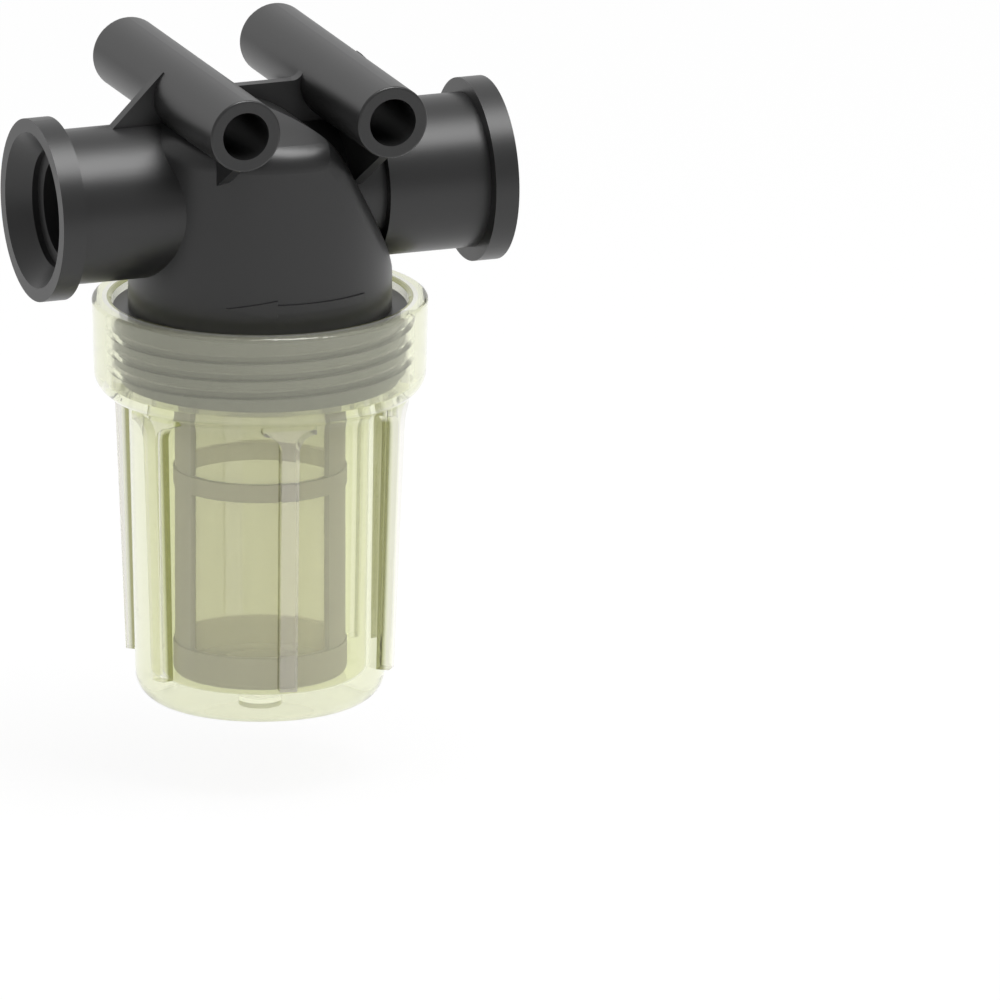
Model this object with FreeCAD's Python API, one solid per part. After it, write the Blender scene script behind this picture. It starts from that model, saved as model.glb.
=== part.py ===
"""Sea water strainer for a 3/4 inch raw-water line: moulded head, screw-on clear bowl and lift-out element.

Frame: +Z up along the bowl axis, origin at the centre of the bowl's flat bottom.
The ports lie along X: water enters at +X and leaves at -X. The two mounting tubes lie along Y.
All sizes are in millimetres.
"""
import FreeCAD, Part
import math
import os

V = FreeCAD.Vector
X_AXIS = V(1, 0, 0)
Y_AXIS = V(0, 1, 0)
Z_AXIS = V(0, 0, 1)

# ---------------------------------------------------------------- driving dimensions
# ports and mounting tubes
port_z = 128.1              # height of the port axis
port_half = 59.1            # half of the length over both port faces
collar_r = 22.5             # collar at each port mouth
collar_t = 6.0
barrel_r = 19.0             # outside of each threaded port
barrel_inner_x = 27.0       # where the inlet barrel steps down to its stub
stub_r = 16.4               # narrow inlet pipe between its barrel and the hood
thread_bore_r = 12.06       # G 3/4 minor radius
thread_depth = 24.5         # from the face to the shoulder inside the port
port_bore_r = 10.8          # plain passage beyond the shoulder
mouth_r = 19.2              # flare of the port mouth
mouth_depth = 5.3
relief_r = 14.6             # plain relief ahead of the thread
relief_depth = 6.8
lead_in = 0.5               # chamfer from the relief down to the thread
tube_x = 19.05              # half of the distance between the mounting tubes
tube_z = 153.6
tube_r = 9.05
tube_bore_r = 5.95
tube_half = 42.1
tube_edge = 0.6

# head
hood_r = 32.2               # upright wall of the hood
hood_wall = 3.0
hood_arc_x = -8.5           # centre of the hood's crown, at the height of the port axis
hood_arc_r = 24.4
hood_slope_deg = 60.0       # steep side, towards the inlet
dome_top = 152.6            # shallow dome over the rest of the hood
dome_r = 66.0
hood_round = 6.6            # rounding along the hood's upper edge
flange_r = 35.9
flange_top = 98.6
flange_t = 1.5
plug_r = 33.9               # root of the male thread
plug_bottom = 80.8
plug_bore_r = 29.4
spigot_r = 19.0             # pipe that the element slides over
spigot_bore_r = 16.4
spigot_bottom = 78.0
elbow_neck_z = 117.0        # top of the spigot's wide part
elbow_end_x = -16.0
groove_in_r = 30.35         # face groove for the bowl's O-ring
groove_out_r = 32.95
groove_depth = 1.6

# thread between head and bowl, right hand
pitch = 4.45
male_crest_r = 35.5
male_base_w = 2.5
male_crest_w = 2.0
male_start_z = 82.85        # middle of the male ridge at its lower end
male_start_deg = -142.5
male_turns = 3.2
female_root_r = 36.25
female_crest_r = 34.5
female_base_w = 2.1
female_crest_w = 1.6
female_start_z = 82.0       # middle of the female ridge at its lower end
female_turns = 3.05
buried = 0.4                # how far a ridge is sunk in the wall that carries it

# web, gussets and ribs of the head
web_t = 3.0
web_top = 155.0
web_round = 3.0             # hollow corner between the web's top and each tube
gusset_proud = 0.3
rib_t = 2.7
rib_rise = 0.596            # slope of the rib's lower edge
rib_low_z = 122.0
rib_reach = 38.5

# flow arrow
arrow_z = 106.1
arrow_proud = 0.45
arrow_tip_deg = -124.9
arrow_neck_deg = -102.5
arrow_tail_deg = -58.2
arrow_head_h = 4.3
arrow_shaft_h = 2.1

# bowl
rim_z = 101.1
rim_r = 41.05
rim_low_r = 40.6
rim_edge = 0.9
mouth_chamfer = 0.6
collar_round = 6.1
collar_under_z = 77.0
seat_z = 80.1               # shoulder that the O-ring closes on
body_top_r = 32.05
body_top_z = 73.0
body_low_r = 30.45
body_corner = 7.5
cavity_top_r = 26.75
cavity_low_r = 25.8
floor_z = 6.6
cavity_corner = 3.0
gate_r = 5.2
gate_depth = 1.0

# bowl ribs
rib_count = 6
rib_first_deg = -98.1
bowl_rib_w = 4.3
bowl_rib_top_r = 36.7
bowl_rib_low_r = 33.7
bowl_rib_low_z = 9.9
flare_r = 4.4
flare_top_z = 75.2

# O-ring
ring_mid_r = 31.51
ring_section = 2.24

# element
element_turn_deg = -20.0    # which way the windows look, from -Y
frame_r = 20.8
frame_in_r = 19.5
hoop_r = 21.2
cup_low_z = 6.7
cup_top_z = 15.1
cup_floor_t = 1.6
cup_round = 2.2
hoop_low_z = 54.5
hoop_top_z = 58.8
window_top_z = 80.4
frame_top_z = 90.0
sleeve_bore_r = 19.06
window_half_deg = 53.5
mesh_t = 0.3
mesh_gap = 0.05


# ---------------------------------------------------------------- small helpers
def cylinder(radius, start, axis, length):
    """Solid cylinder from a start point along an axis."""
    return Part.makeCylinder(radius, length, start, axis)


def revolve(points):
    """Solid of revolution about Z from a closed list of (r, z) points."""
    wire = Part.makePolygon([V(r, 0, z) for r, z in points + points[:1]])
    return Part.Face(wire).revolve(V(0, 0, 0), Z_AXIS, 360)


def revolve_edges(edges):
    """Solid of revolution about Z from a closed run of edges in the XZ plane."""
    return Part.Face(Part.Wire(edges)).revolve(V(0, 0, 0), Z_AXIS, 360)


def line(a, b):
    """Edge between two (r, z) points in the XZ plane."""
    return Part.LineSegment(V(a[0], 0, a[1]), V(b[0], 0, b[1])).toShape()


def arc(a, mid, b):
    """Arc through three (r, z) points in the XZ plane."""
    return Part.Arc(V(a[0], 0, a[1]), V(mid[0], 0, mid[1]), V(b[0], 0, b[1])).toShape()


def on_circle(centre, radius, degrees):
    """Point of a circle in the XZ plane."""
    t = math.radians(degrees)
    return (centre[0] + radius * math.cos(t), centre[1] + radius * math.sin(t))


def plate(points, axis, thickness):
    """Flat plate of a given thickness, centred on its plane."""
    face = Part.Face(Part.makePolygon(points + points[:1]))
    return face.extrude(axis * thickness).translated(axis * (-thickness / 2))


def turned(shape, degrees):
    """Copy of a shape turned about the bowl axis."""
    copy = shape.copy()
    copy.rotate(V(0, 0, 0), Z_AXIS, degrees)
    return copy


def fused(shapes):
    """One solid from shapes that overlap."""
    return shapes[0].multiFuse(shapes[1:]).removeSplitter()


def save(node, shape):
    """Write one piece and print what it is."""
    kind = shape.Solids[0] if len(shape.Solids) == 1 else shape
    kind.exportStep("parts/%s.step" % node)
    box = shape.BoundBox
    print("%-14s solids %d valid %s volume %.1f z %.2f to %.2f"
          % (node, len(shape.Solids), shape.isValid(), shape.Volume, box.ZMin, box.ZMax))


# ---------------------------------------------------------------- thread
def ridge(base_r, crest_r, base_width, crest_width, start_z, start_deg, turns):
    """Right-hand helical ridge of trapezoidal section, from a buried base radius to its crest."""
    height = turns * pitch
    helix = Part.makeHelix(pitch, height, base_r)
    helix.translate(V(0, 0, start_z))
    low, high = -base_width / 2, base_width / 2
    crest_low, crest_high = -crest_width / 2, crest_width / 2
    corners = [V(base_r, 0, start_z + low), V(crest_r, 0, start_z + crest_low),
               V(crest_r, 0, start_z + crest_high), V(base_r, 0, start_z + high)]
    section = Part.makePolygon(corners + corners[:1])
    return turned(Part.Wire(helix).makePipeShell([section], True, True), start_deg)


# ---------------------------------------------------------------- head
def slope_outline(inset):
    """Outline in the XZ plane that cuts the hood's steep side and rounds it over to the top."""
    centre = (hood_arc_x, port_z)
    radius = hood_arc_r - inset
    top = on_circle(centre, radius, 90)
    bend = on_circle(centre, radius, 60)
    front = on_circle(centre, radius, 90 - hood_slope_deg)
    reach = 60.0
    slope = math.radians(hood_slope_deg)
    far_front = (front[0] + reach * math.cos(slope), front[1] - reach * math.sin(slope))
    high = top[1] + 10
    low = plug_bottom - 20
    left = -60.0
    edges = [line((top[0], high), top), arc(top, bend, front), line(front, far_front)]
    edges += [line(far_front, (far_front[0], low)), line((far_front[0], low), (left, low))]
    edges += [line((left, low), (left, high)), line((left, high), (top[0], high))]
    return Part.Face(Part.Wire(edges))


def on_wall(edge, radius):
    """True for an edge that runs round an upright wall, and not straight up it."""
    span = edge.LastParameter - edge.FirstParameter
    points = [edge.valueAt(edge.FirstParameter + span * share) for share in (0, 0.3, 0.7, 1)]
    upright = max(p.x for p in points) - min(p.x for p in points) < 0.01
    upright = upright and max(p.y for p in points) - min(p.y for p in points) < 0.01
    return not upright and all(abs(math.hypot(p.x, p.y) - radius) < 0.02 for p in points)


def hood_solid(radius, low_z, inset, rounding):
    """Upright domed cylinder with one steep side, its upper edge rounded all the way round."""
    top = dome_top - inset
    ball = dome_r - inset
    edge_z = top - ball + math.sqrt(ball * ball - radius * radius)
    mid_z = top - ball + math.sqrt(ball * ball - radius * radius / 4)
    section = [line((0, low_z), (radius, low_z)), line((radius, low_z), (radius, edge_z))]
    section += [arc((radius, edge_z), (radius / 2, mid_z), (0, top)), line((0, top), (0, low_z))]
    outline = slope_outline(inset).extrude(Y_AXIS * 120).translated(Y_AXIS * -60)
    solid = revolve_edges(section).common(outline)
    rim = [e for e in solid.Edges if e.BoundBox.ZMax > low_z + 1 and on_wall(e, radius)]
    return solid.makeFillet(rounding, rim)


def port(side):
    """Collar and barrel of one port; side is +1 for the inlet and -1 for the outlet."""
    out = V(side, 0, 0)
    face = V(side * port_half, 0, port_z)
    collar = cylinder(collar_r, face, out * -1, collar_t)
    return collar.fuse(cylinder(barrel_r, face, out * -1, port_half - barrel_inner_x))


def mouth_cut(side):
    """Flared mouth, relief and thread bore of one port, down to its shoulder."""
    out = V(side, 0, 0)
    face = V(side * port_half, 0, port_z)
    skin = 0.01
    flare = Part.makeCone(mouth_r, relief_r, mouth_depth + skin, face + out * skin, out * -1)
    relief = cylinder(relief_r, face, out * -1, relief_depth)
    lead = Part.makeCone(relief_r, thread_bore_r, lead_in, face - out * relief_depth, out * -1)
    thread_bore = cylinder(thread_bore_r, face, out * -1, thread_depth)
    return fused([flare, relief, lead, thread_bore])


def mount_tubes():
    """The two tubes that the mounting bolts go through."""
    tubes = []
    for side in (-1, 1):
        tube = cylinder(tube_r, V(side * tube_x, -tube_half, tube_z), Y_AXIS, 2 * tube_half)
        ends = [e for e in tube.Edges if e.Curve.TypeId == "Part::GeomCircle"]
        tubes.append(tube.makeFillet(tube_edge, ends))
    return tubes


def web():
    """Plate across the top: a gusset outside each tube and a bridge between them."""
    reach = (tube_r + gusset_proud) * math.sqrt(0.5)
    foot_z = port_z + barrel_r - 0.6
    tip = (tube_x + reach, tube_z + reach)
    foot = (tip[0] + tip[1] - foot_z, foot_z)
    rise = web_top + web_round - tube_z
    run = math.sqrt((tube_r + web_round) ** 2 - rise ** 2)
    share = tube_r / (tube_r + web_round)
    start = (tube_x - run, web_top)
    corner = (tube_x - run, web_top + web_round)
    end = (tube_x - run * share, tube_z + rise * share)
    turn = math.degrees(math.atan2(end[1] - corner[1], end[0] - corner[0]))
    middle = on_circle(corner, web_round, (turn - 90) / 2)
    half = [line((0, web_top), start), arc(start, middle, end), line(end, (tube_x, tube_z))]
    half += [line((tube_x, tube_z), tip), line(tip, foot), line(foot, (foot[0], foot[1] - 8))]
    half += [line((foot[0], foot[1] - 8), (0, foot[1] - 8)), line((0, foot[1] - 8), (0, web_top))]
    right = Part.Face(Part.Wire(half)).extrude(Y_AXIS * web_t).translated(Y_AXIS * (-web_t / 2))
    return fused([right, right.mirror(V(0, 0, 0), X_AXIS)])


def under_ribs():
    """One rib along each tube, its lower edge sloping in to the hood."""
    ribs = []
    for side in (-1, 1):
        x = side * tube_x
        high = rib_low_z + rib_rise * rib_reach
        corners = [V(x, -rib_reach, high), V(x, 0, rib_low_z), V(x, rib_reach, high)]
        corners += [V(x, rib_reach, tube_z), V(x, -rib_reach, tube_z)]
        ribs.append(plate(corners, X_AXIS, rib_t))
    return ribs


def flow_arrow():
    """Raised arrow round the front of the hood, pointing at the outlet."""
    outer = hood_r + arrow_proud
    band = cylinder(outer, V(0, 0, arrow_z - 5), Z_AXIS, 10)
    band = band.cut(cylinder(hood_r - 0.5, V(0, 0, arrow_z - 5), Z_AXIS, 10))
    half_head, half_shaft = arrow_head_h / 2, arrow_shaft_h / 2
    pieces = []
    steps = 6
    for i in range(steps):
        a = arrow_neck_deg + (arrow_tail_deg - arrow_neck_deg) * i / steps
        b = arrow_neck_deg + (arrow_tail_deg - arrow_neck_deg) * (i + 1) / steps
        sector = Part.makeCylinder(60, arrow_shaft_h, V(0, 0, arrow_z - half_shaft), Z_AXIS, b - a)
        pieces.append(turned(sector, a).common(band))
    shaft = fused(pieces)
    middle = math.radians((arrow_tip_deg + arrow_neck_deg) / 2)
    normal = V(math.cos(middle), math.sin(middle), 0)
    across = V(-math.sin(middle), math.cos(middle), 0)
    half_len = outer * math.sin(math.radians((arrow_neck_deg - arrow_tip_deg) / 2))
    base = normal * (hood_r * 0.9)
    tip = base - across * half_len + V(0, 0, arrow_z)
    high = base + across * half_len + V(0, 0, arrow_z + half_head)
    low = base + across * half_len + V(0, 0, arrow_z - half_head)
    head = Part.Face(Part.makePolygon([tip, low, high, tip])).extrude(normal * 10)
    return [shaft, head.common(band)]


def elbow():
    """Inlet pipe that turns down into the spigot, as outer and inner solids."""
    run = 30.0 - elbow_end_x
    outer = [cylinder(stub_r, V(elbow_end_x, 0, port_z), X_AXIS, run)]
    outer += [cylinder(stub_r, V(0, 0, elbow_neck_z), Z_AXIS, port_z - elbow_neck_z)]
    outer += [cylinder(spigot_r, V(0, 0, spigot_bottom), Z_AXIS, elbow_neck_z - spigot_bottom)]
    inner = [cylinder(port_bore_r, V(0, 0, port_z), X_AXIS, port_half)]
    inner += [Part.makeSphere(port_bore_r, V(0, 0, port_z))]
    inner += [cylinder(port_bore_r, V(0, 0, elbow_neck_z - 4), Z_AXIS, port_z - elbow_neck_z + 4)]
    inner += [cylinder(spigot_bore_r, V(0, 0, spigot_bottom - 1), Z_AXIS, elbow_neck_z - spigot_bottom - 2)]
    return fused(outer), fused(inner)


def make_head():
    """The whole head as one moulding."""
    hood = hood_solid(hood_r, flange_top - 1, 0, hood_round)
    plug = cylinder(plug_r, V(0, 0, plug_bottom), Z_AXIS, flange_top - plug_bottom)
    flange = cylinder(flange_r, V(0, 0, flange_top - flange_t), Z_AXIS, flange_t)
    stub = cylinder(stub_r, V(0, 0, port_z), X_AXIS, barrel_inner_x + 1)
    outlet_link = cylinder(barrel_r, V(-barrel_inner_x - 1, 0, port_z), X_AXIS, 8)
    solid = fused([hood, plug, flange, stub, outlet_link, port(1), port(-1)])
    solid = fused([solid, web()] + under_ribs() + mount_tubes())
    solid = fused([solid] + flow_arrow())
    thread = ridge(plug_r - buried, male_crest_r, male_base_w, male_crest_w, male_start_z, male_start_deg, male_turns)
    solid = solid.fuse(thread)
    chamber = hood_solid(hood_r - hood_wall, plug_bottom - 1, hood_wall, hood_round - hood_wall)
    chamber = chamber.fuse(cylinder(plug_bore_r, V(0, 0, plug_bottom - 1), Z_AXIS, 17))
    solid = solid.cut(chamber)
    pipe_out, pipe_in = elbow()
    solid = solid.fuse(pipe_out).cut(pipe_in)
    outlet = cylinder(port_bore_r, V(-port_half, 0, port_z), X_AXIS, port_half - hood_r + 5)
    bores = [outlet, mouth_cut(1), mouth_cut(-1)]
    for side in (-1, 1):
        bores.append(cylinder(tube_bore_r, V(side * tube_x, -tube_half - 1, tube_z), Y_AXIS, 2 * tube_half + 2))
    groove = cylinder(groove_out_r, V(0, 0, plug_bottom), Z_AXIS, groove_depth)
    groove = groove.cut(cylinder(groove_in_r, V(0, 0, plug_bottom), Z_AXIS, groove_depth))
    return solid.cut(Part.makeCompound(bores + [groove]))


# ---------------------------------------------------------------- bowl
def bowl_shell():
    """The bowl's wall as one revolved section."""
    low = (body_low_r - body_corner, 0)
    corner_mid = on_circle((low[0], body_corner), body_corner, -45)
    corner_end = (body_low_r, body_corner)
    body_top = (body_top_r, body_top_z)
    collar_centre = (rim_low_r - collar_round, collar_under_z + collar_round)
    under = (collar_centre[0], collar_under_z)
    cove_mid = (body_top_r + 0.75, body_top_z + 2.9)
    collar_mid = on_circle(collar_centre, collar_round, -45)
    collar_end = (rim_low_r, collar_centre[1])
    rim_out = (rim_r, rim_z - rim_edge)
    rim_mid = on_circle((rim_r - rim_edge, rim_z - rim_edge), rim_edge, 45)
    rim_top = (rim_r - rim_edge, rim_z)
    edges = [line((0, 0), low), arc(low, corner_mid, corner_end), line(corner_end, body_top)]
    edges += [arc(body_top, cove_mid, under), arc(under, collar_mid, collar_end)]
    edges += [line(collar_end, rim_out), arc(rim_out, rim_mid, rim_top)]
    lip = (female_root_r + mouth_chamfer, rim_z)
    edges += [line(rim_top, lip), line(lip, (female_root_r, rim_z - mouth_chamfer))]
    edges += [line((female_root_r, rim_z - mouth_chamfer), (female_root_r, seat_z))]
    edges += [line((female_root_r, seat_z), (cavity_top_r, seat_z))]
    cavity_end = (cavity_low_r, floor_z + cavity_corner)
    floor_mid = on_circle((cavity_low_r - cavity_corner, floor_z + cavity_corner), cavity_corner, -45)
    floor_end = (cavity_low_r - cavity_corner, floor_z)
    edges += [line((cavity_top_r, seat_z), cavity_end), arc(cavity_end, floor_mid, floor_end)]
    edges += [line(floor_end, (0, floor_z)), line((0, floor_z), (0, 0))]
    return revolve_edges(edges)


def bowl_rib():
    """One grip rib, deeper at the top, flared where it meets the collar."""
    half = bowl_rib_w / 2
    top = collar_under_z + 1.0
    left = [V(0, -half, bowl_rib_low_z), V(0, -half, flare_top_z - flare_r)]
    edges = [Part.LineSegment(left[0], left[1]).toShape()]
    tangent = math.radians(45)
    bend = V(0, -half - flare_r * (1 - math.cos(tangent)), flare_top_z - flare_r * (1 - math.sin(tangent)))
    left_top = V(0, -half - flare_r, flare_top_z)
    edges += [Part.Arc(left[1], bend, left_top).toShape()]
    right_top = V(0, half + flare_r, flare_top_z)
    over = [left_top, V(0, -half - flare_r, top), V(0, half + flare_r, top), right_top]
    edges += [Part.LineSegment(a, b).toShape() for a, b in zip(over[:-1], over[1:])]
    bend_right = V(0, -bend.y, bend.z)
    right_low = V(0, half, flare_top_z - flare_r)
    edges += [Part.Arc(right_top, bend_right, right_low).toShape()]
    edges += [Part.LineSegment(right_low, V(0, half, bowl_rib_low_z)).toShape()]
    edges += [Part.LineSegment(V(0, half, bowl_rib_low_z), left[0]).toShape()]
    outline = Part.Face(Part.Wire(edges)).extrude(X_AXIS * 60)
    slope = (bowl_rib_top_r - bowl_rib_low_r) / (collar_under_z - bowl_rib_low_z)
    top_r = bowl_rib_top_r + slope * (top - collar_under_z)
    low_r = bowl_rib_low_r
    inner = body_low_r - 1.5
    envelope = revolve([(inner, bowl_rib_low_z), (low_r, bowl_rib_low_z), (top_r, top), (inner, top)])
    return outline.common(envelope)


def make_bowl():
    """The bowl as one moulding: wall, grip ribs and female thread."""
    ribs = [turned(bowl_rib(), rib_first_deg + 360.0 / rib_count * i) for i in range(rib_count)]
    solid = fused([bowl_shell()] + ribs)
    low_z = male_start_z - pitch / 2
    female_deg = male_start_deg + 360 * (female_start_z - low_z) / pitch
    thread = ridge(female_root_r + buried, female_crest_r, female_base_w, female_crest_w, female_start_z, female_deg,
                   female_turns)
    solid = solid.fuse(thread)
    gate = cylinder(gate_r, V(0, 0, -1), Z_AXIS, gate_depth + 1)
    return solid.cut(gate)


def make_o_ring():
    """O-ring in the head's face groove."""
    mid_z = plug_bottom + groove_depth - ring_section / 2 - 0.02
    return Part.makeTorus(ring_mid_r, ring_section / 2, V(0, 0, mid_z), Z_AXIS)


# ---------------------------------------------------------------- element
def make_frame():
    """Element frame: cup, two wide posts, a hoop and a sleeve that fits over the spigot."""
    body = cylinder(frame_r, V(0, 0, cup_low_z), Z_AXIS, frame_top_z - cup_low_z)
    cup = cylinder(hoop_r, V(0, 0, cup_low_z), Z_AXIS, cup_top_z - cup_low_z)
    low_edge = [e for e in cup.Edges if e.BoundBox.ZMax < cup_low_z + 0.01]
    cup = cup.makeFillet(cup_round, low_edge)
    body = body.common(cup.fuse(cylinder(frame_r, V(0, 0, cup_low_z + cup_round), Z_AXIS, 90)))
    hoop = cylinder(hoop_r, V(0, 0, hoop_low_z), Z_AXIS, hoop_top_z - hoop_low_z)
    solid = fused([body, cup, hoop])
    inside = cylinder(frame_in_r, V(0, 0, cup_low_z + cup_floor_t), Z_AXIS, window_top_z - cup_low_z - cup_floor_t)
    sleeve = cylinder(sleeve_bore_r, V(0, 0, window_top_z - 1), Z_AXIS, 20)
    solid = solid.cut(inside).cut(sleeve)
    span = 2 * window_half_deg
    for low, high in ((cup_top_z, hoop_low_z), (hoop_top_z, window_top_z)):
        for facing in (-90, 90):
            sector = Part.makeCylinder(40, high - low, V(0, 0, low), Z_AXIS, span)
            sector = turned(sector, facing - window_half_deg + element_turn_deg)
            solid = solid.cut(sector)
    boss = cylinder(8.0, V(0, 0, cup_low_z + cup_floor_t - 0.2), Z_AXIS, 1.2)
    ring = cylinder(14.0, V(0, 0, cup_low_z + cup_floor_t - 0.2), Z_AXIS, 0.9)
    ring = ring.cut(cylinder(12.6, V(0, 0, cup_low_z), Z_AXIS, 10))
    return fused([solid, boss, ring])


def make_mesh():
    """Filter mesh: a thin sleeve just inside the frame."""
    outer = frame_in_r - mesh_gap
    low = cup_low_z + cup_floor_t + 0.05
    high = window_top_z - 0.1
    sleeve = cylinder(outer, V(0, 0, low), Z_AXIS, high - low)
    return sleeve.cut(cylinder(outer - mesh_t, V(0, 0, low - 1), Z_AXIS, high - low + 2))


os.makedirs("parts", exist_ok=True)
save("head_body", make_head())
save("bowl", make_bowl())
save("bowl_o_ring", make_o_ring())
save("element_frame", make_frame())
save("element_mesh", make_mesh())
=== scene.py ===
"""Looks of the sea water strainer, in metres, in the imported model's own frame."""
import math

import bmesh
import bpy
from mathutils import Matrix, Vector


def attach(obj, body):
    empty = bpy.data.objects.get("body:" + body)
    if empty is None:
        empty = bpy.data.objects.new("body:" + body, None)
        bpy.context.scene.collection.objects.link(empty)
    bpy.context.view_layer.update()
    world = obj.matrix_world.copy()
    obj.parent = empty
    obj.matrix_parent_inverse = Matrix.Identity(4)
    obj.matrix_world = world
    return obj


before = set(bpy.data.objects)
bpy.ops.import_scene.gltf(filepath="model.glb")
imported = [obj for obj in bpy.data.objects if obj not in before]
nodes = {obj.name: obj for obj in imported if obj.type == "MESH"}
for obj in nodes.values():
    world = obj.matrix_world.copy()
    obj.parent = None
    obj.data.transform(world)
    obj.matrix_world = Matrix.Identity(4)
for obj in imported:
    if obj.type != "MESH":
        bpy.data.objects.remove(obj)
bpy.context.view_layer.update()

scene = bpy.context.scene

MM = 0.001
WHITE = (1, 1, 1, 1)


# ---------------------------------------------------------------- camera
VIEW_BACK = (-0.3321, -0.9066, 0.2602)      # from the object to the camera
VIEW_RIGHT = (0.939, -0.344, 0.0)           # along the ports, nearly level
VIEW_AIM = (52.0, -28.0, 51.8)              # millimetres, the middle of the picture
VIEW_WIDTH = 243.6                          # millimetres across the picture
VIEW_DISTANCE = 2.0                         # metres, free in a parallel view


def make_camera():
    """Parallel view, aimed to leave the object where it stands in its picture."""
    back = Vector(VIEW_BACK).normalized()
    right = Vector(VIEW_RIGHT)
    right = (right - back * right.dot(back)).normalized()
    up = back.cross(right)
    data = bpy.data.cameras.new("camera")
    data.type = "ORTHO"
    data.ortho_scale = VIEW_WIDTH * MM
    data.clip_start = 0.01
    data.clip_end = 60.0
    camera = bpy.data.objects.new("camera", data)
    scene.collection.objects.link(camera)
    turn = Matrix((right, up, back)).transposed().to_4x4()
    place = Vector(VIEW_AIM) * MM + back * VIEW_DISTANCE
    camera.matrix_world = Matrix.Translation(place) @ turn
    scene.camera = camera


# ---------------------------------------------------------------- node helpers
class Nodes:
    """Fills the node tree of a material or world. Helpers in lower case return a socket."""

    def __init__(self, owner, output):
        owner.use_nodes = True
        self.owner = owner
        self.tree = owner.node_tree
        self.tree.nodes.clear()
        self.output = self.tree.nodes.new(output)

    def add(self, kind, inputs=None, **settings):
        """New node. An input given a socket is linked, any other is set."""
        node = self.tree.nodes.new(kind)
        for key, value in settings.items():
            setattr(node, key, value)
        for key, value in (inputs or {}).items():
            socket = node.inputs[key]
            if isinstance(value, bpy.types.NodeSocket):
                self.tree.links.new(value, socket)
            else:
                socket.default_value = value
        return node

    def coords(self, kind):
        return self.add("ShaderNodeTexCoord").outputs[kind]

    def calc(self, operation, *values):
        node = self.add("ShaderNodeMath", dict(enumerate(values)), operation=operation)
        return node.outputs["Value"]

    def noise(self, vector, scale, detail=2.0):
        node = self.add("ShaderNodeTexNoise", {"Vector": vector, "Scale": scale, "Detail": detail})
        return node.outputs["Fac"]

    def ramp(self, value, start, end, at_start, at_end):
        """Straight run from at_start to at_end, level outside it."""
        node = self.add("ShaderNodeMapRange", {
            "Value": value, "From Min": start, "From Max": end,
            "To Min": at_start, "To Max": at_end})
        return node.outputs["Result"]

    def blend(self, share, first, second):
        node = self.add("ShaderNodeMixRGB", {"Fac": share, "Color1": first, "Color2": second})
        return node.outputs["Color"]

    def grain(self, scale, strength):
        """Fine moulded grain, as a normal."""
        height = self.noise(self.coords("Object"), scale, 3.0)
        node = self.add("ShaderNodeBump", {
            "Height": height, "Strength": strength, "Distance": 0.1 * MM})
        return node.outputs["Normal"]

    def seen(self):
        """1 for what the camera sees, straight or through the clear bowl."""
        path = self.add("ShaderNodeLightPath")
        return self.calc("MAXIMUM", path.outputs["Is Camera Ray"],
                         path.outputs["Is Transmission Ray"])

    def mix(self, share, first, second):
        node = self.add("ShaderNodeMixShader", {"Fac": share, 1: first, 2: second})
        return node.outputs["Shader"]

    def surface(self, socket):
        self.tree.links.new(socket, self.output.inputs["Surface"])

    def principled(self, inputs):
        """Finish a material with one Principled shader and return it."""
        self.surface(self.add("ShaderNodeBsdfPrincipled", inputs).outputs["BSDF"])
        return self.owner


def new_material(name):
    return Nodes(bpy.data.materials.new(name), "ShaderNodeOutputMaterial")


# ---------------------------------------------------------------- plain materials
def black_plastic():
    """Satin black moulding: faint grain, slightly uneven gloss."""
    sh = new_material("black_plastic")
    patches = sh.noise(sh.coords("Object"), 55.0)
    return sh.principled({
        "Base Color": sh.blend(patches, (0.013, 0.013, 0.0132, 1), (0.016, 0.016, 0.0162, 1)),
        "Roughness": sh.ramp(patches, 0.0, 1.0, 0.34, 0.38),
        "Normal": sh.grain(2600.0, 0.05),
        "Specular IOR Level": 0.5})


def o_ring_rubber():
    """Matt black rubber."""
    sh = new_material("o_ring_rubber")
    return sh.principled({
        "Base Color": (0.02, 0.02, 0.021, 1), "Roughness": 0.6,
        "Normal": sh.grain(1800.0, 0.15)})


def element_plastic():
    """Natural translucent plastic, faintly mauve."""
    sh = new_material("element_plastic")
    cloud = sh.noise(sh.coords("Object"), 40.0)
    return sh.principled({
        "Base Color": sh.blend(cloud, (0.49, 0.44, 0.50, 1), (0.54, 0.49, 0.55, 1)),
        "Roughness": 0.35, "IOR": 1.1, "Transmission Weight": 0.5})


def filter_mesh():
    """Fine mesh, partly see-through, with upright streaks."""
    sh = new_material("filter_mesh")
    drawn_out = sh.add("ShaderNodeMapping", {
        "Vector": sh.coords("Object"), "Scale": (1.0, 1.0, 0.03)})
    streaks = sh.noise(drawn_out.outputs["Vector"], 700.0)
    return sh.principled({
        "Base Color": sh.blend(streaks, (0.56, 0.50, 0.42, 1), (0.86, 0.79, 0.70, 1)),
        "Roughness": 0.6, "Alpha": 0.22})


# ---------------------------------------------------------------- clear bowl
# Its shade is painted by place as a darker olive on rib sides, cove and inner rim, because its low
# IOR bends little light.
BOWL_DRAFT = 0.032          # growth of the wall's radius with height
RIB_ROOT_R = 31.6 * MM      # radii brought down to the foot along the draft
RIB_EDGE_R = 32.4 * MM
RIB_FACE_R = 32.6 * MM
RIB_TOP_Z = 76.5 * MM
COVE_START_Z = 69.0 * MM    # the cove under the collar
COVE_FULL_Z = 76.0 * MM
COVE_END_Z = 79.5 * MM
# strength of the painted shade in the cove
COVE_SHADE_STRENGTH = 0.16
# the inner rim lip, which gets painted shade
RIM_LIP_R = 37.4 * MM
RIM_LIP_Z = 100.3 * MM
COLLAR_INSIDE_R = 38.5 * MM
COLLAR_INSIDE_Z = 80.3 * MM

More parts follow.
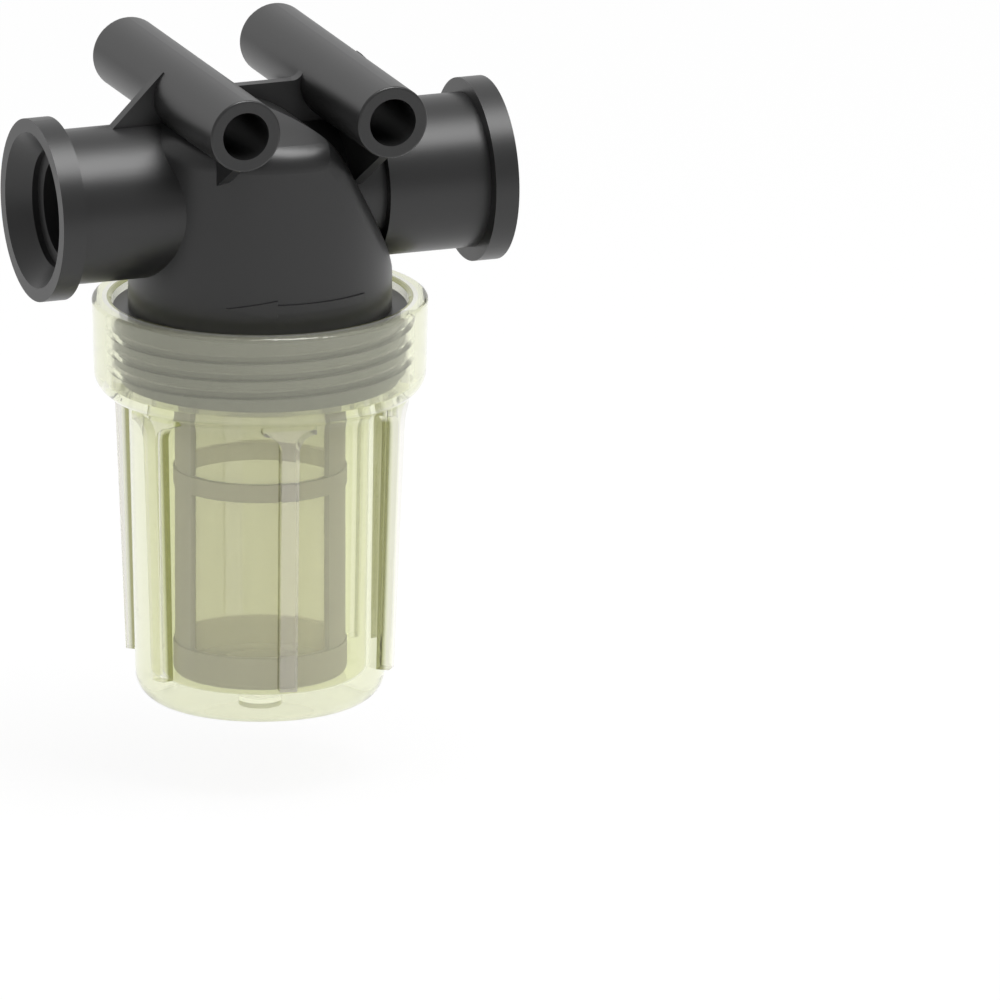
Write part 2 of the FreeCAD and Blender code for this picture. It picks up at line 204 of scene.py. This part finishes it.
BOWL_PALE = (0.895, 0.91, 0.69, 1)
BOWL_PALER = (0.91, 0.925, 0.71, 1)
# colour of the painted shade on rib sides, cove and inner rim
BOWL_PAINTED_SHADE = (0.16, 0.165, 0.045, 1)
# lighter colour painted on the rib faces as a highlight
RIB_FACE_HIGHLIGHT = (0.985, 0.975, 0.93, 1)
COLLAR_INSIDE_COLOUR = (0.86, 0.85, 0.87, 1)


class BowlPoint:
    """Sockets that say where on the bowl a point lies and which way it faces."""

    def __init__(self, sh):
        coords = sh.add("ShaderNodeTexCoord")
        self.place = coords.outputs["Object"]
        self.normal = coords.outputs["Normal"]
        split = sh.add("ShaderNodeSeparateXYZ", {"Vector": self.place})
        self.height = split.outputs["Z"]
        flat = sh.add("ShaderNodeCombineXYZ", {"X": split.outputs["X"], "Y": split.outputs["Y"]})
        self.outward = flat.outputs["Vector"]
        span = sh.add("ShaderNodeVectorMath", {0: self.outward}, operation="LENGTH")
        self.radius = span.outputs["Value"]
        self.foot_radius = sh.calc("MULTIPLY_ADD", self.height, -BOWL_DRAFT, self.radius)


def rib_side_shade(sh, at):
    """1 where painted shade goes: faces that look along the wall, weaker from a rib's root to its
    edge.
    """
    unit = sh.add("ShaderNodeVectorMath", {0: at.outward}, operation="NORMALIZE")
    facing = sh.add("ShaderNodeVectorMath", {0: unit.outputs["Vector"], 1: at.normal},
                    operation="DOT_PRODUCT")
    rise = sh.add("ShaderNodeSeparateXYZ", {"Vector": at.normal}).outputs["Z"]
    outward_or_up = sh.calc("ADD", sh.calc("POWER", facing.outputs["Value"], 2.0),
                            sh.calc("MULTIPLY", rise, rise))
    side = sh.ramp(outward_or_up, 0.15, 0.60, 1.0, 0.0)
    root = sh.ramp(at.foot_radius, RIB_ROOT_R, RIB_EDGE_R, 1.0, 0.25)
    return sh.calc("MULTIPLY", side, root)


def rib_face_highlight(sh, at):
    """1 on the proud faces of the ribs, where a lighter painted highlight goes."""
    return sh.calc("MULTIPLY", sh.calc("GREATER_THAN", at.foot_radius, RIB_FACE_R),
                   sh.calc("LESS_THAN", at.height, RIB_TOP_Z))


def cove_shade(sh, at):
    """Painted shade, growing slightly towards the collar."""
    rise = sh.ramp(at.height, COVE_START_Z, COVE_FULL_Z, 0.0, 1.0)
    cut = sh.calc("MULTIPLY", rise, sh.calc("LESS_THAN", at.height, COVE_END_Z))
    return sh.calc("MULTIPLY", cut, COVE_SHADE_STRENGTH)


def inner_zone(sh, at, radius, height):
    """1 inside a radius and above a height."""
    return sh.calc("MULTIPLY", sh.calc("LESS_THAN", at.radius, radius),
                   sh.calc("GREATER_THAN", at.height, height))


def clear_bowl():
    """Clear moulding with a yellow-green tint, with painted shade on rib sides, cove and inner rim
    and a painted highlight on the rib faces.
    """
    sh = new_material("clear_bowl")
    at = BowlPoint(sh)
    # Painted shade on rib sides, the cove and the inner rim lip, only where a ray enters the bowl,
    # not where it leaves.
    painted_shade = sh.calc("MAXIMUM", cove_shade(sh, at), rib_side_shade(sh, at))
    painted_shade = sh.calc("MAXIMUM", painted_shade, inner_zone(sh, at, RIM_LIP_R, RIM_LIP_Z))
    leaving = sh.add("ShaderNodeNewGeometry").outputs["Backfacing"]
    painted_shade = sh.calc("MULTIPLY", painted_shade, sh.calc("SUBTRACT", 1.0, leaving))
    tint = sh.blend(sh.noise(at.place, 30.0), BOWL_PALE, BOWL_PALER)
    # Painted highlight: the rib faces are made lighter.
    tint = sh.blend(rib_face_highlight(sh, at), tint, RIB_FACE_HIGHLIGHT)
    collar_inside = inner_zone(sh, at, COLLAR_INSIDE_R, COLLAR_INSIDE_Z)
    tint = sh.blend(collar_inside, tint, COLLAR_INSIDE_COLOUR)
    return sh.principled({
        "Base Color": sh.blend(painted_shade, tint, BOWL_PAINTED_SHADE), "Roughness": 0.03, "IOR": 1.04,
        "Transmission Weight": 0.88,
        "Coat Weight": 1.0, "Coat Roughness": 0.03, "Coat IOR": 1.5})


def dress():
    """Give every carried-over piece its material."""
    looks = {"head_body": black_plastic(), "bowl": clear_bowl(), "bowl_o_ring": o_ring_rubber(),
             "element_frame": element_plastic(), "element_mesh": filter_mesh()}
    for name, material in looks.items():
        for slot in nodes[name].material_slots:
            slot.material = material


# ---------------------------------------------------------------- port threads
# Millimetres. Both ports lie on one line along X at PORT_Z.
PORT_Z = 128.1
THREAD_PITCH = 1.814
THREAD_ROOT_R = 12.10
THREAD_CREST_R = 11.80
THREAD_ROOT_HALF = 0.62     # half widths of the ridge
THREAD_CREST_HALF = 0.12
THREAD_START_X = 48.6       # a little inside the lead-in
THREAD_END_X = 36.0
THREAD_RUN_IN = 0.7         # from the start to the first ridge's middle
STEPS_A_TURN = 40


def port_thread(side):
    """Fine right-hand pipe thread standing on the bore of one port."""
    turns = (THREAD_START_X - THREAD_END_X - THREAD_PITCH) / THREAD_PITCH
    steps = int(turns * STEPS_A_TURN)
    profile = [(-THREAD_ROOT_HALF, THREAD_ROOT_R), (-THREAD_CREST_HALF, THREAD_CREST_R),
               (THREAD_CREST_HALF, THREAD_CREST_R), (THREAD_ROOT_HALF, THREAD_ROOT_R)]
    verts, faces = [], []
    for i in range(steps + 1):
        turn = 2 * math.pi * turns * i / steps
        along = THREAD_START_X - THREAD_RUN_IN - THREAD_PITCH * turns * i / steps
        for offset, radius in profile:
            x = side * (along + offset)
            y = -side * radius * math.sin(turn)
            z = PORT_Z + radius * math.cos(turn)
            verts.append((x * MM, y * MM, z * MM))
    count = len(profile)
    for i in range(steps):
        here, there = i * count, (i + 1) * count
        for j in range(count):
            k = (j + 1) % count
            faces.append((here + j, here + k, there + k, there + j))
    faces.append(tuple(range(count - 1, -1, -1)))
    faces.append(tuple(steps * count + j for j in range(count)))
    mesh = bpy.data.meshes.new("port_thread")
    mesh.from_pydata(verts, [], faces)
    work = bmesh.new()
    work.from_mesh(mesh)
    bmesh.ops.recalc_face_normals(work, faces=work.faces)
    work.to_mesh(mesh)
    work.free()
    return mesh


def add_threads():
    """One thread in each port, carried by the head."""
    for side, name in ((1, "inlet_thread"), (-1, "outlet_thread")):
        thread = bpy.data.objects.new(name, port_thread(side))
        scene.collection.objects.link(thread)
        thread.data.materials.append(nodes["head_body"].material_slots[0].material)
        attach(thread, "head")


# ---------------------------------------------------------------- surroundings
FILL_FRONT = 0.40           # strength of the white surroundings as a light
FILL_BACK = 0.90
FLOOR_HALF = 30.0           # metres
FLOOR_Z = -18.0 * MM        # low enough for the bowl to be screwed right off
FLOOR_GLOW = 0.92           # share of the floor that is plain white to the camera
FLOOR_GLOW_GLOSSY = 0.35    # and to reflections


def make_world():
    """White surroundings, seen at full white, that light the object more from behind."""
    world = bpy.data.worlds.new("studio")
    scene.world = world
    sh = Nodes(world, "ShaderNodeOutputWorld")
    axes = sh.add("ShaderNodeSeparateXYZ", {"Vector": sh.coords("Generated")})
    strength = sh.ramp(axes.outputs["Y"], -0.6, 0.9, FILL_FRONT, FILL_BACK)
    fill = sh.add("ShaderNodeBackground", {"Color": WHITE, "Strength": strength})
    plain = sh.add("ShaderNodeBackground", {"Color": WHITE, "Strength": 1.0})
    sh.surface(sh.mix(sh.seen(), fill.outputs["Background"], plain.outputs["Background"]))


def floor_material():
    """Diffuse white that keeps a soft shadow under a plain white glow."""
    sh = new_material("floor")
    diffuse = sh.add("ShaderNodeBsdfDiffuse", {"Color": (0.85, 0.85, 0.85, 1)})
    glow = sh.add("ShaderNodeEmission", {"Color": WHITE, "Strength": 1.0})
    glossy = sh.add("ShaderNodeLightPath").outputs["Is Glossy Ray"]
    share = sh.calc("MAXIMUM", sh.calc("MULTIPLY", sh.seen(), FLOOR_GLOW),
                    sh.calc("MULTIPLY", glossy, FLOOR_GLOW_GLOSSY))
    sh.surface(sh.mix(share, diffuse.outputs["BSDF"], glow.outputs["Emission"]))
    return sh.owner


def make_floor():
    """Plain white floor."""
    mesh = bpy.data.meshes.new("floor")
    corners = [(x * FLOOR_HALF, y * FLOOR_HALF, 0) for x, y in ((-1, -1), (1, -1), (1, 1), (-1, 1))]
    mesh.from_pydata(corners, [], [(0, 1, 2, 3)])
    floor = bpy.data.objects.new("floor", mesh)
    scene.collection.objects.link(floor)
    floor.location.z = FLOOR_Z
    mesh.materials.append(floor_material())


def make_key_light():
    """One soft lamp, high and a little in front, aimed at the middle of the object."""
    place, aim = Vector((0.20, -0.28, 1.24)), Vector((0, 0, 0.09))
    data = bpy.data.lights.new("key", "AREA")
    data.shape = "RECTANGLE"
    data.size = 0.60
    data.size_y = 0.95
    data.energy = 15.5
    lamp = bpy.data.objects.new("key", data)
    scene.collection.objects.link(lamp)
    lamp.location = place
    lamp.rotation_mode = "QUATERNION"
    lamp.rotation_quaternion = (place - aim).to_track_quat("Z", "Y")


make_camera()
dress()
add_threads()
make_world()
make_floor()
make_key_light()

scene.view_settings.view_transform = "Standard"
